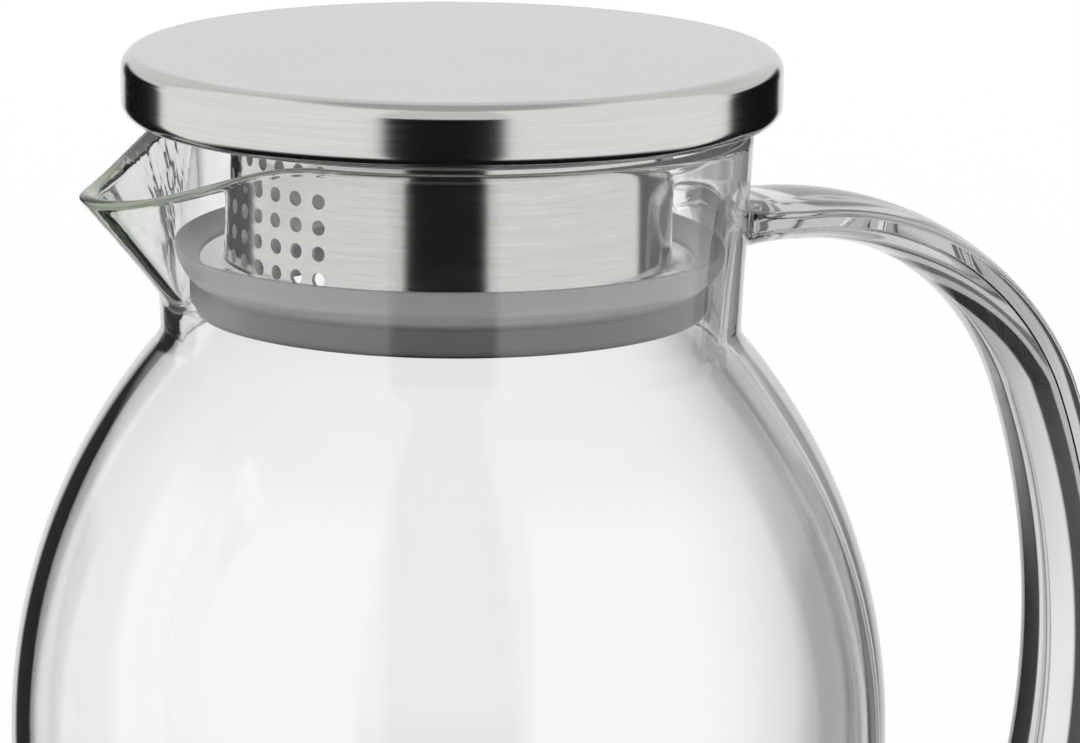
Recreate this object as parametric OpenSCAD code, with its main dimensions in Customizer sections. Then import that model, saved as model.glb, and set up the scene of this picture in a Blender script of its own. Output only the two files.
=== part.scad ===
// Glass pitcher with a pulled spout, a strap handle and a lift-off strainer lid.
// Origin on the axis at the base plane, +Z up, spout toward -X, handle toward +X.

/* [Glass body] */
// Height of the rim above the base
body_h = 205; // [197:1:215]
// Widest outer diameter of the belly
belly_d = 141.6; // [136:0.2:148]
// Height of the widest point above the base
belly_z = 106; // [99:0.5:111]
// Outer diameter of the foot before its edge is rounded
base_d = 114; // [106:1:122]
// Outer diameter of the neck just above the shoulder
neck_d = 92.8; // [90:0.2:96]
// Height of the neck from the shoulder crease to the rim
neck_h = 34; // [31:0.5:37]
// How much the neck opens out toward the rim, on the radius
neck_flare = 1.6; // [0.8:0.1:2.2]
// Glass wall thickness
wall = 2.9; // [2.4:0.1:3.2]
// Glass floor thickness
floor_t = 4.6; // [3.6:0.1:6]

/* [Spout] */
// How far the spout tip stands out past the rim
spout_out = 13.6; // [10:0.2:15]
// Drop of the spout tip below the rim
spout_drop = 8.2; // [5:0.2:9]
// Drop below the rim of the point where the keel runs out of the neck
keel_drop = 28; // [25:0.5:30]

/* [Handle] */
// Width of the strap
handle_w = 28; // [24:0.5:30]
// Thickness of the strap at its upper end, in the middle of its width
handle_t = 7.4; // [6.4:0.1:8.4]
// Thickness of the strap from the grip down, in the middle of its width
grip_t = 10.6; // [9:0.1:12]
// Drop of the upper end of the strap below the rim
handle_drop = 17.9; // [16:0.1:20]
// Free room for the fingers between belly and strap
hand_gap = 32.5; // [30:0.5:36]

/* [Lid] */
// Overhang of the lid past the rim
lid_over = 4.5; // [2.5:0.1:6]
// Height of the lid
lid_h = 10.4; // [9:0.1:13]
// Edge rounding of the lid
lid_round = 2.6; // [1.8:0.1:3]
// Gap between the rim and the underside of the lid
lid_gap = 1.3; // [0.8:0.1:2]
// Thickness of the steel sheet of the lid
sheet_t = 0.9; // [0.7:0.05:1.2]

/* [Strainer] */
// How far the sleeve hangs below the rim
sleeve_drop = 22.5; // [21.5:0.1:23.5]
// Room between sleeve and neck wall, filled by the seal
seal_room = 8.3; // [7.8:0.1:9]
// Sheet thickness of the sleeve
sleeve_t = 0.7; // [0.5:0.05:0.9]
// Diameter of the strainer holes
hole_d = 2.4; // [1.8:0.1:2.8]
// Columns of strainer holes
hole_cols = 11; // [5:2:15]
// Rows of strainer holes
hole_rows = 5; // [2:1:5]

/* [Hidden] */
$fn = 96;

// Reach of a cut past the faces it opens
overrun = 1;
// Clearance of the sleeve turning in the seal, on the radius and along the axis
turn_clear = 0.05;
// Clearance between the seal and the neck wall
seal_clear = 0.3;
// Clearance between the base plate and the wall of the cap
plate_clear = 0.3;

// Body profile
foot_round = 8;
inner_foot_round = 7;
neck_round = 5;
belly_r = belly_d/2;
base_r = base_d/2;
neck_r = neck_d/2;
crease_z = body_h - neck_h;
shoulder_drop = belly_r - neck_r;
shoulder_rise = crease_z - belly_z;
shoulder_r = (shoulder_rise*shoulder_rise + shoulder_drop*shoulder_drop)/(2*shoulder_drop);
shoulder_x = belly_r - shoulder_r;
lower_drop = belly_r - base_r;
lower_r = (belly_z*belly_z + lower_drop*lower_drop)/(2*lower_drop);
lower_x = belly_r - lower_r;
rim_round = wall/2;
rim_r = neck_r + neck_flare;
rim_z = body_h - rim_round;
neck_x = neck_r + neck_round;
neck_z = belly_z + sqrt(pow(shoulder_r + neck_round, 2) - pow(neck_x - shoulder_x, 2));
shoulder_a = asin((neck_z - belly_z)/(shoulder_r + neck_round));
foot_x = lower_x + sqrt(pow(lower_r - foot_round, 2) - pow(belly_z - foot_round, 2));
foot_a = -asin((belly_z - foot_round)/(lower_r - foot_round));
inner_lower_r = lower_r - wall;
inner_foot_z = floor_t + inner_foot_round;
inner_foot_x = lower_x + sqrt(pow(inner_lower_r - inner_foot_round, 2) - pow(belly_z - inner_foot_z, 2));
inner_foot_a = -asin((belly_z - inner_foot_z)/(inner_lower_r - inner_foot_round));
foot_steps = 4;
lower_steps = 6;
shoulder_steps = 8;
neck_steps = 3;
rim_steps = 3;

function arc(x, z, r, a0, a1, n) = [for (i = [0:n]) let(a = a0 + (a1 - a0)*i/n) [x + r*cos(a), z + r*sin(a)]];
function tail(p) = [for (i = [1:len(p) - 1]) p[i]];
function neck_in(z) = neck_r - wall + neck_flare*(z - neck_z)/(rim_z - neck_z);
function lower_out(z) = lower_x + sqrt(lower_r*lower_r - pow(belly_z - z, 2));

outer_pts = concat(
    [[0, 0]],
    arc(foot_x, foot_round, foot_round, -90, foot_a, foot_steps),
    tail(arc(lower_x, belly_z, lower_r, foot_a, 0, lower_steps)),
    tail(arc(shoulder_x, belly_z, shoulder_r, 0, shoulder_a, shoulder_steps)),
    tail(arc(neck_x, neck_z, neck_round, shoulder_a + 180, 180, neck_steps)),
    arc(rim_r - rim_round, rim_z, rim_round, 0, 90, rim_steps),
    [[0, body_h]]
);

inner_pts = concat(
    [[0, floor_t]],
    arc(inner_foot_x, inner_foot_z, inner_foot_round, -90, inner_foot_a, foot_steps),
    tail(arc(lower_x, belly_z, inner_lower_r, inner_foot_a, 0, lower_steps)),
    tail(arc(shoulder_x, belly_z, shoulder_r - wall, 0, shoulder_a, shoulder_steps)),
    tail(arc(neck_x, neck_z, neck_round + wall, shoulder_a + 180, 180, neck_steps)),
    arc(rim_r - rim_round, rim_z, rim_round, 180, 90, rim_steps),
    [[rim_r - rim_round, body_h + overrun], [0, body_h + overrun]]
);

// Spout: a V-shaped trough pulled out along the keel line
spout_a = 36;
keel_round = 4.6;
keel_steps = 8;
spout_l = rim_r + spout_out;
tip_z = body_h - spout_drop;
keel_z = body_h - keel_drop;
keel_r = neck_r + neck_flare*(keel_z - neck_z)/(rim_z - neck_z);
keel_len = sqrt(pow(spout_l - keel_r, 2) + pow(tip_z - keel_z, 2));
lean_a = atan2(spout_l - keel_r, tip_z - keel_z);
root_share = 0.985;
root_r = rim_r*root_share;
root_x = root_r*cos(spout_a);
root_y = root_r*sin(spout_a);
arm_x = (keel_r - root_x)*cos(lean_a) + (body_h - keel_z)*sin(lean_a);
arm_d = sqrt(pow(arm_x - keel_round, 2) + root_y*root_y);
flank_a = atan2(root_y, arm_x - keel_round) + acos(keel_round/arm_d);
brim_power = 1.9;
brim_steps = 8;
below_share = 0.3;

function trough(r, inset) = concat(
    arc(keel_round, 0, r, flank_a, 360 - flank_a, keel_steps),
    [[arm_x - inset*cos(flank_a), -root_y + inset*sin(flank_a)]],
    [[arm_x - inset*cos(flank_a), root_y - inset*sin(flank_a)]]
);

module trough_solid(r, inset) {
    translate([-keel_r, 0, keel_z])
        rotate([0, -lean_a, 0])
            translate([0, 0, -keel_len*below_share])
                linear_extrude(height = keel_len*(1 + 2*below_share))
                    polygon(trough(r, inset));
}

// The brim falls away at once beside the rim and runs out level at the tip
brim_pts = concat(
    [
        for (i = [0:brim_steps])
            let(t = i/brim_steps)
                [-root_x - (spout_l - root_x)*t, body_h - spout_drop*(1 - pow(1 - t, brim_power))]
    ],
    [[-2*spout_l, tip_z], [-2*spout_l, body_h + keel_drop], [-root_x, body_h + keel_drop]]
);

module brim_cut() {
    translate([0, rim_r, 0])
        rotate([90, 0, 0])
            linear_extrude(height = 2*rim_r)
                polygon(brim_pts);
}

module glass_body() {
    color([0.86, 0.92, 0.9, 0.5])
        difference() {
            union() {
                rotate_extrude()
                    polygon(outer_pts);
                trough_solid(keel_round, 0);
            }
            rotate_extrude()
                polygon(inner_pts);
            trough_solid(keel_round - wall, wall);
            brim_cut();
        }
}

// Handle: a strap swept along a straight end, three arcs and a second straight end. It thickens
// along the first arc, and both ends are spread where they are welded to the body
outer_crown_share = 0.2;
inner_crown_share = 0.5;
crown_steps = 8;
weld_in = 4;
weld_spread_share = 1.15;
weld_steps = 5;
bend_a = 70.6;
grip_a = 34;
turn_a = 56;
bend_steps = 16;
grip_steps = 6;
turn_steps = 14;
bend_share = 0.728;
grip_share = 2.896;
turn_share = 0.7;
handle_z = body_h - handle_drop;
handle_x = belly_r + hand_gap + grip_t/2;
bend_r = (handle_x - neck_r)*bend_share;
grip_r = bend_r*grip_share;
turn_r = bend_r*turn_share;
bend_x = handle_x - bend_r*sin(bend_a) - grip_r*(1 - sin(bend_a));
bend_z = handle_z - bend_r;
grip_x = bend_x + (bend_r - grip_r)*sin(bend_a);
grip_z = bend_z + (bend_r - grip_r)*cos(bend_a);
grip_end_a = bend_a + grip_a;
turn_x = grip_x + (grip_r - turn_r)*sin(grip_end_a);
turn_z = grip_z + (grip_r - turn_r)*cos(grip_end_a);
turn_end_a = grip_end_a + turn_a;
low_x = turn_x + turn_r*sin(turn_end_a);
low_z = turn_z + turn_r*cos(turn_end_a);
low_len = (low_x - lower_out(low_z))/-cos(turn_end_a) + weld_in + grip_t;
top_len = bend_x - neck_r + weld_in;

// Section of the strap at a thickness: a flat arc outside, a fuller arc inside, a plain edge at each side
function crown(h) = let(r = (pow(handle_w/2, 2) + h*h)/(2*h), a = asin(handle_w/2/r)) [
    for (i = [0:crown_steps])
        let(b = a - 2*a*i/crown_steps)
            [h - r + r*cos(b), r*sin(b)]
];
function strap_pts(t) = let(h_in = inner_crown_share*t, h_out = outer_crown_share*t) concat(
    [for (p = crown(h_in)) [h_in - t/2 - p[0], p[1]]],
    [for (p = crown(h_out)) [t/2 - h_out + p[0], -p[1]]]
);

// A station of the strap is its place, its direction below +X, the spread of its section and its thickness
function spread(t) = 1 + (weld_spread_share - 1)*t*t;
function ease(t) = t*t*(3 - 2*t);
function bend(x, z, r, a0, a1, n, t0, t1) = [
    for (i = [0:n])
        let(a = a0 + (a1 - a0)*i/n)
            [x + r*sin(a), z + r*cos(a), a, 1, t0 + (t1 - t0)*ease(i/n)]
];
stations = concat(
    [
        for (i = [0:weld_steps - 1])
            let(t = 1 - i/weld_steps)
                [bend_x - top_len*t, handle_z, 0, spread(t), handle_t]
    ],
    bend(bend_x, bend_z, bend_r, 0, bend_a, bend_steps, handle_t, grip_t),
    tail(bend(grip_x, grip_z, grip_r, bend_a, grip_end_a, grip_steps, grip_t, grip_t)),
    tail(bend(turn_x, turn_z, turn_r, grip_end_a, turn_end_a, turn_steps, grip_t, grip_t)),
    [
        for (i = [1:weld_steps])
            let(t = i/weld_steps, l = low_len*t)
                [low_x + l*cos(turn_end_a), low_z - l*sin(turn_end_a), turn_end_a, spread(t), grip_t]
    ]
);

module strap_sweep() {
    n = len(strap_pts(handle_t));
    last = len(stations) - 1;
    polyhedron(
        points = [
            for (s = stations)
                for (p = strap_pts(s[4]))
                    [s[0] + p[0]*s[3]*sin(s[2]), p[1]*s[3], s[1] + p[0]*s[3]*cos(s[2])]
        ],
        faces = concat(
            [[for (k = [0:n - 1]) k]],
            [
                for (i = [0:last - 1])
                    for (k = [0:n - 1])
                        let(m = (k + 1) % n)
                            [i*n + k, (i + 1)*n + k, (i + 1)*n + m, i*n + m]
            ],
            [[for (k = [n - 1:-1:0]) last*n + k]]
        )
    );
}

module glass_handle() {
    color([0.86, 0.92, 0.9, 0.5])
        difference() {
            strap_sweep();
            rotate_extrude()
                polygon(outer_pts);
        }
}

// Lid: a pressed cap rolled under a dished base plate
lid_r = rim_r + lid_over;
lid_z = body_h + lid_gap;
lid_top = lid_z + lid_h;
roll_w = 4.4;
round_steps = 5;
inner_round = lid_round - sheet_t;
roll_r = lid_r - lid_round - roll_w;
plate_z = lid_z + sheet_t;
plate_r = lid_r - lid_round - plate_clear;

cap_pts = concat(
    [[0, lid_top]],
    arc(lid_r - lid_round, lid_top - lid_round, lid_round, 90, 0, round_steps),
    arc(lid_r - lid_round, lid_z + lid_round, lid_round, 0, -90, round_steps),
    [[roll_r, lid_z], [roll_r, plate_z]],
    arc(lid_r - lid_round, lid_z + lid_round, inner_round, -90, 0, round_steps),
    arc(lid_r - lid_round, lid_top - lid_round, inner_round, 0, 90, round_steps),
    [[0, lid_top - sheet_t]]
);

module lid_cap() {
    color([0.74, 0.74, 0.72])
        rotate_extrude()
            polygon(cap_pts);
}

module lid_base_plate() {
    color([0.66, 0.66, 0.65])
        rotate_extrude()
            polygon([
                [0, plate_z],
                [plate_r, plate_z],
                [plate_r, lid_top - sheet_t],
                [plate_r - sheet_t, lid_top - sheet_t],
                [plate_r - sheet_t, plate_z + sheet_t],
                [0, plate_z + sheet_t]
            ]);
}

// Strainer sleeve: a tube turned in under the plate and flared out over the seal
sleeve_r = neck_r - wall - seal_room;
flange_w = 4.6;
flange_r = sleeve_r + flange_w;
top_turn_w = 5;
flare_round = 0.8;
sleeve_z = body_h - sleeve_drop;
flange_top = sleeve_z + sleeve_t;
first_hole = 2.1;
hole_pitch = 4.1;
hole_step_a = 7.25;
flare_steps = 4;

sleeve_pts = concat(
    [[sleeve_r - top_turn_w, plate_z], [sleeve_r, plate_z]],
    arc(sleeve_r + flare_round, flange_top + flare_round, flare_round, 180, 270, flare_steps),
    [[flange_r, flange_top], [flange_r, sleeve_z]],
    arc(sleeve_r + flare_round, flange_top + flare_round, flare_round + sleeve_t, 270, 180, flare_steps),
    [[sleeve_r - sleeve_t, plate_z - sleeve_t], [sleeve_r - top_turn_w, plate_z - sleeve_t]]
);

module strainer_sleeve() {
    color([0.7, 0.7, 0.69])
        difference() {
            rotate_extrude()
                polygon(sleeve_pts);
            for (c = [0:hole_cols - 1])
                for (r = [0:hole_rows - 1])
                    rotate([0, 0, 180 + (c - (hole_cols - 1)/2)*hole_step_a])
                        translate([sleeve_r - sleeve_t - overrun, 0, flange_top + first_hole + hole_pitch*r])
                            rotate([0, 90, 0])
                                cylinder(d = hole_d, h = sleeve_t + 2*overrun, $fn = 24);
        }
}

// Seal: a soft ring under the flange of the sleeve with a lip flared to the neck wall
seal_below = 7.1;
seal_w = 5.9;
lip_h = 3.2;
lip_top_w = 4.5;
lip_drop = 2.5;
lip_tilt = 0.8;
lip_edge = 0.5;
notch_in = 0.3;
notch_h = 0.7;
ridge_h = 4.4;
tuck_w = 0.6;
tuck_h = 0.5;
seal_round = 1.6;
bore_round = 0.6;
seal_steps = 4;
seal_floor = sleeve_z - turn_clear;
seal_z = seal_floor - seal_below;
seal_bore = sleeve_r - sleeve_t + turn_clear;
seal_r = sleeve_r + seal_w;
slot_top = flange_top + turn_clear;
slot_r = flange_r + turn_clear;
lip_z = slot_top + lip_h - lip_tilt;
lip_r = neck_in(lip_z) - seal_clear;

seal_pts = concat(
    arc(seal_bore + bore_round, seal_z + bore_round, bore_round, 180, 270, seal_steps),
    arc(seal_r - seal_round, seal_z + seal_round, seal_round, 270, 360, seal_steps),
    [[seal_r, seal_z + ridge_h]],
    [[seal_r - notch_in, seal_z + ridge_h + notch_h]],
    [[lip_r - lip_edge, lip_z - lip_edge], [lip_r, lip_z], [lip_r, lip_z + lip_edge]],
    [[lip_r - lip_edge, lip_z + lip_tilt]],
    [[lip_r - lip_top_w, lip_z + lip_tilt - lip_drop]],
    [[flange_r - tuck_w, slot_top + tuck_h], [flange_r - tuck_w, slot_top]],
    [[slot_r, slot_top], [slot_r, seal_floor], [seal_bore, seal_floor]]
);

module seal_ring() {
    color([0.55, 0.56, 0.56])
        rotate_extrude()
            polygon(seal_pts);
}

glass_body();
glass_handle();
lid_cap();
lid_base_plate();
strainer_sleeve();
seal_ring();
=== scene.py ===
from math import acos, asin, atan2, cos, degrees, hypot, pi, radians, sin, sqrt, tan

import bmesh
import bpy
from mathutils import Matrix, Vector
from mathutils.kdtree import KDTree


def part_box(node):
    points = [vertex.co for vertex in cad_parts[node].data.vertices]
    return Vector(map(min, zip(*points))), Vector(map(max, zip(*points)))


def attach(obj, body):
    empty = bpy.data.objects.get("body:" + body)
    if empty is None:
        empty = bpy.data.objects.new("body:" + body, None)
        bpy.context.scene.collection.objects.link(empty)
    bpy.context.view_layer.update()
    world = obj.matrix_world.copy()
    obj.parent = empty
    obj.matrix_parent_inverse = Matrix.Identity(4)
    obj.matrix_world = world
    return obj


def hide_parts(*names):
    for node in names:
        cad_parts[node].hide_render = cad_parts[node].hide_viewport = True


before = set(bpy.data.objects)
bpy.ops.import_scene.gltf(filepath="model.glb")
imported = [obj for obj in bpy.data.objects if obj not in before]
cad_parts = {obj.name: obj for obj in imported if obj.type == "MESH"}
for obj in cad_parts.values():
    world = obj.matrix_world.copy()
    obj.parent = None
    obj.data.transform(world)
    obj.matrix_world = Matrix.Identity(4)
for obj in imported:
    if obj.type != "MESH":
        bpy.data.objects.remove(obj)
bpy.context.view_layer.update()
mm = 0.001
mergeGap = 0.001 * mm
print("frame loaded:", ", ".join(sorted(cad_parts)))

# soft steps between whole counts of bounces: the first and after it, the third and after it
firstOn = (0.2, 0.8)
thirdOn = (2.2, 2.8)


class Wire:
    # a shader socket that can be used in sums

    def __init__(self, socket):
        self.socket = socket
        self.tree = socket.id_data

    @staticmethod
    def feed(node, values):
        # sets a node's sockets, and links those whose value is a wire
        for name, value in values.items():
            if isinstance(value, Wire):
                node.id_data.links.new(value.socket, node.inputs[name])
            else:
                node.inputs[name].default_value = value

    @staticmethod
    def node(tree, kind, settings=None, values=None, out=0):
        # adds any node and gives one of its outputs, or the node itself where out is None
        made = tree.nodes.new(kind)
        for name, value in (settings or {}).items():
            setattr(made, name, value)
        Wire.feed(made, values or {})
        return Wire(made.outputs[out]) if out is not None else made

    @staticmethod
    def lightPath(tree, *names):
        path = Wire.node(tree, "ShaderNodeLightPath", out=None)
        return [Wire(path.outputs[name]) for name in names]

    def maths(self, operation, first, second=None):
        pair = {0: first} if second is None else {0: first, 1: second}
        return Wire.node(self.tree, "ShaderNodeMath", {"operation": operation}, pair)

    def __add__(self, other):
        return self.maths("ADD", self, other)

    def __sub__(self, other):
        return self.maths("SUBTRACT", self, other)

    def __rsub__(self, other):
        return self.maths("SUBTRACT", other, self)

    def __mul__(self, other):
        return self.maths("MULTIPLY", self, other)

    __radd__ = __add__
    __rmul__ = __mul__

    def highest(self, other):
        return self.maths("MAXIMUM", self, other)

    def step(self, low, high):
        # 0 below low, 1 above high, smooth between
        values = {"Value": self, "From Min": low, "From Max": high}
        return Wire.node(self.tree, "ShaderNodeMapRange", {"interpolation_type": "SMOOTHSTEP"}, values)

    def band(self, rise, fall):
        # 1 between two soft edges, 0 outside them
        return self.step(*rise) * (1 - self.step(*fall))

    def parts(self):
        split = Wire.node(self.tree, "ShaderNodeSeparateXYZ", {}, {"Vector": self}, None)
        return [Wire(output) for output in split.outputs]

    def noise(self, scale, detail, **others):
        values = {"Vector": self, "Scale": scale, "Detail": detail, **others}
        return Wire.node(self.tree, "ShaderNodeTexNoise", {}, values)


def mixColour(fac, first, second):
    # inputs 6 and 7 of the node are its two colours, and output 2 is the mixed one
    values = {"Factor": fac, 6: first, 7: second}
    return Wire.node(fac.tree, "ShaderNodeMix", {"data_type": "RGBA"}, values, 2)


def bumpFrom(height, strength, distance):
    values = {"Height": height, "Strength": strength, "Distance": distance}
    return Wire.node(height.tree, "ShaderNodeBump", {}, values)


def newMaterial(name):
    material = bpy.data.materials.new(name)
    material.use_nodes = True
    tree = material.node_tree
    coords = Wire.node(tree, "ShaderNodeTexCoord", out="Object")
    return material, tree, coords


def smooth(t):
    # 0 to 1 with soft ends
    return t * t * (3 - 2 * t)


def spaced(low, high, parts):
    return [low + (high - low) * i / parts for i in range(parts + 1)]


def arcPoints(x, z, radius, fromDeg, toDeg, steps):
    turns = [radians(fromDeg + (toDeg - fromDeg) * i / steps) for i in range(steps + 1)]
    return [(x + radius * cos(a), z + radius * sin(a)) for a in turns]


def spinOutline(outline, steps, closed=False):
    bm = bmesh.new()
    verts = [bm.verts.new((x, 0, z)) for x, z in outline]
    ends = verts[1:] + verts[:1] if closed else verts[1:]
    edges = [bm.edges.new(pair) for pair in zip(verts, ends)]
    bmesh.ops.spin(
        bm, geom=verts + edges, axis=(0, 0, 1), cent=(0, 0, 0), angle=2 * pi, steps=steps, use_merge=True)
    bmesh.ops.remove_doubles(bm, verts=bm.verts, dist=mergeGap)
    bmesh.ops.recalc_face_normals(bm, faces=bm.faces)
    return bm


def onlyEdges(geom):
    return [g for g in geom if isinstance(g, bmesh.types.BMEdge)]


def onlyVerts(geom):
    return [g for g in geom if isinstance(g, bmesh.types.BMVert)]


def ringVerts(edges):
    # each vertex once, in the same order on each run
    return list(dict.fromkeys(v for e in edges for v in e.verts))


def toObject(name, bm, material):
    mesh = bpy.data.meshes.new(name)
    bm.to_mesh(mesh)
    bm.free()
    mesh.polygons.foreach_set("use_smooth", [True] * len(mesh.polygons))
    mesh.materials.append(material)
    piece = bpy.data.objects.new(name, mesh)
    bpy.context.scene.collection.objects.link(piece)
    return piece


# camera, set to the photograph's view
view = {
    "azimuth": -19.5,
    "elevation": 12.25,
    "roll": 0.5,
    "distance": 0.95,
    "aimRight": 14.3 * mm,
    "aimHeight": 164.6 * mm,
    "lens": 197.5,
    "sensor": 36,
    "nearest": 10 * mm,
}
az, el, roll = radians(view["azimuth"]), radians(view["elevation"]), radians(view["roll"])
rightWay = Vector((cos(az), sin(az), 0))
backWay = Vector((sin(az) * cos(el), -cos(az) * cos(el), sin(el)))
upWay = backWay.cross(rightWay)
camRight = rightWay * cos(roll) + upWay * sin(roll)
camUp = upWay * cos(roll) - rightWay * sin(roll)
eye = rightWay * view["aimRight"] + Vector((0, 0, view["aimHeight"])) + backWay * view["distance"]
camera = bpy.data.objects.new("camera", bpy.data.cameras.new("camera"))
camera.data.lens = view["lens"]
camera.data.sensor_width = view["sensor"]
camera.data.clip_start = view["nearest"]
camera.matrix_world = Matrix.Translation(eye) @ Matrix((camRight, camUp, backWay)).transposed().to_4x4()
bpy.context.scene.collection.objects.link(camera)
bpy.context.scene.camera = camera
bpy.context.scene.view_settings.view_transform = "Standard"
print("camera set")

# clear glass, a little green where it is thick. Zones are soft steps along -x (out), x (strap) and z (up)
glassLook = {
    "ior": 1.47,
    "pale": (1.0, 1.0, 1.0, 1),
    "tinted": (0.985, 0.99, 0.985, 1),
    "tintScale": 22,
    "tintFrom": (0.4, 0.75),
    "edgeTint": (0.9, 0.96, 0.87, 1),
    "rimUp": (202 * mm, 204 * mm),
    "rimShare": 0.6,
    "depthColour": (0.5, 0.51, 0.5, 1),
    "depthDensity": 32,
    "rippleScale": 38,
    "rippleRough": 0.4,
    "rippleHeight": 0.05 * mm,
    "drawnOut": (50 * mm, 58 * mm),
    "drawnUp": (178 * mm, 186 * mm),
    "drawnFolds": 0.5,
    "foldHeight": 0.22 * mm,
    "foldTurn": ((17, 22), (34, 42)),  # degrees from the spout's middle
    "foldUp": (176 * mm, 184 * mm),
    "foldAcross": 260,
    "foldAlong": 110,
    # painted glow: emission colours that stand in for light trapped in the wall
    "paintedGlowGreen": (0.14, 0.158, 0.128, 1),
    "paintedGlowGrey": (0.06, 0.061, 0.06, 1),
    "paintedGlowWeld": (0.27, 0.28, 0.265, 1),
    "greenOut": (34 * mm, 46 * mm),
    "greenUp": (170 * mm, 175 * mm),
    "greenRim": (200 * mm, 203 * mm),
    "strapOut": (48 * mm, 49.5 * mm),
    "strapLow": (120 * mm, 170 * mm),
    "strapHigh": (170 * mm, 172 * mm),
}


def makeGlass():
    look = glassLook
    material, tree, coords = newMaterial("clearGlass")
    x, y, z = coords.parts()
    out = x * -1
    drawn = out.step(*look["drawnOut"]) * z.step(*look["drawnUp"])

    # folds left in the glass where the spout was drawn out of the neck
    turn = x.maths("ARCTAN2", y, out) * (180 / pi)
    folded = turn.band(*look["foldTurn"]) * z.step(*look["foldUp"])
    streaks = Wire.node(tree, "ShaderNodeCombineXYZ", {}, {
        "X": x * look["foldAcross"], "Y": y * look["foldAcross"], "Z": z * look["foldAlong"]})
    folds = streaks.noise(1, detail=2) * (folded.highest(drawn * look["drawnFolds"]) * look["foldHeight"])
    ripple = coords.noise(look["rippleScale"], detail=1, Roughness=look["rippleRough"])

    cloud = coords.noise(look["tintScale"], detail=2)
    wallColour = mixColour(cloud.step(*look["tintFrom"]), look["pale"], look["tinted"])
    thick = drawn.highest(z.step(*look["rimUp"]) * look["rimShare"])

    # painted glow: where light bounces on inside the wall three times or more, the glass glows dark grey,
    # green at the spout and the rim, and paler at the welds where they are seen through the jug, in place of
    # the light it would carry
    bounces, passes = Wire.lightPath(tree, "Glossy Depth", "Transmission Depth")
    green = (out.step(*look["greenOut"]) * z.step(*look["greenUp"])).highest(z.step(*look["greenRim"]))
    onStrap = x.step(*look["strapOut"]) * (1 - z.step(*look["strapLow"])).highest(z.step(*look["strapHigh"]))
    behind = passes.step(*thirdOn)
    paintedGlow = mixColour(green, look["paintedGlowGrey"], look["paintedGlowGreen"])
    paintedGlow = mixColour(onStrap * behind, paintedGlow, look["paintedGlowWeld"])
    lit = bounces.step(*thirdOn) * (1 - onStrap).highest(behind)
    Wire.feed(tree.nodes["Principled BSDF"], {
        "Emission Color": mixColour(lit, (0, 0, 0, 1), paintedGlow),
        "Emission Strength": 1.0,
        "Base Color": mixColour(thick, wallColour, look["edgeTint"]),
        "Roughness": 0.0,
        "IOR": look["ior"],
        "Transmission Weight": 1.0,
        "Normal": bumpFrom(ripple * look["rippleHeight"] + folds, strength=1.0, distance=1.0),
    })
    depth = Wire.node(tree, "ShaderNodeVolumeAbsorption", {}, {
        "Color": look["depthColour"], "Density": look["depthDensity"]})
    Wire.feed(tree.nodes["Material Output"], {"Volume": depth})
    return material


# brushed stainless steel, the brush marks running round the axis
steelLook = {
    "bright": (0.6, 0.595, 0.575, 1),
    "dull": (0.52, 0.515, 0.5, 1),
    # painted light: a pale tone used only inside the sleeve, so that its shaded inside shows lighter through
    # the holes
    "paintedLightPale": (0.86, 0.86, 0.85, 1),
    "anisotropy": 0.2,
    "coarse": 2200,
    "fine": 9000,
    "around": 2.5,
    "patches": 30,
    "coarseShare": 0.5,
    "fineShare": 0.35,
    "patchShare": 0.15,
    "toneFrom": (0.25, 0.75),
    "uneven": 0.08,
    "markDepth": 0.02 * mm,
}


def makeSteel(name, roughness, marks, metallic=1.0, tones=("dull", "bright")):
    look = steelLook
    material, tree, coords = newMaterial(name)
    x, y, z = coords.parts()
    radius = x.maths("SQRT", x * x + y * y)
    turn = x.maths("ARCTAN2", y, x)

    def brush(scale):
        along = Wire.node(tree, "ShaderNodeCombineXYZ", {}, {
            "X": radius * scale, "Y": z * scale, "Z": turn * look["around"]})
        return along.noise(1, detail=2)

    coarse, fine = brush(look["coarse"]), brush(look["fine"])
    patches = coords.noise(look["patches"], detail=3)
    tone = coarse * look["coarseShare"] + fine * look["fineShare"] + patches * look["patchShare"]
    Wire.feed(tree.nodes["Principled BSDF"], {
        "Base Color": mixColour(tone.step(*look["toneFrom"]), *(look[shade] for shade in tones)),
        "Metallic": metallic,
        "Roughness": roughness + (tone - 0.5) * look["uneven"],
        "Anisotropic": look["anisotropy"],
        "Normal": bumpFrom(coarse * 0.5 + fine * 0.5, marks, look["markDepth"]),
    })
    return material


# translucent grey silicone, paler in the lip, darker below it partly as painted shade, and with a painted
# shadow line at the foot
siliconeLook = {
    "thin": (0.88, 0.89, 0.89, 1),
    "thick": (0.27, 0.275, 0.28, 1),
    "lipUp": (180.0 * mm, 181.4 * mm),
    "foot": (0.05, 0.05, 0.05, 1),
    "footRise": (0.25 * mm, 0.75 * mm),
    "cloudScale": 60,
    "cloudy": 0.08,
    "grainScale": 1800,
    "grainMarks": 0.12,
    "grainDepth": 0.05 * mm,
    "roughness": 0.32,
    "uneven": 0.12,
    "clear": 0.35,
    "ior": 1.41,
}


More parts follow.
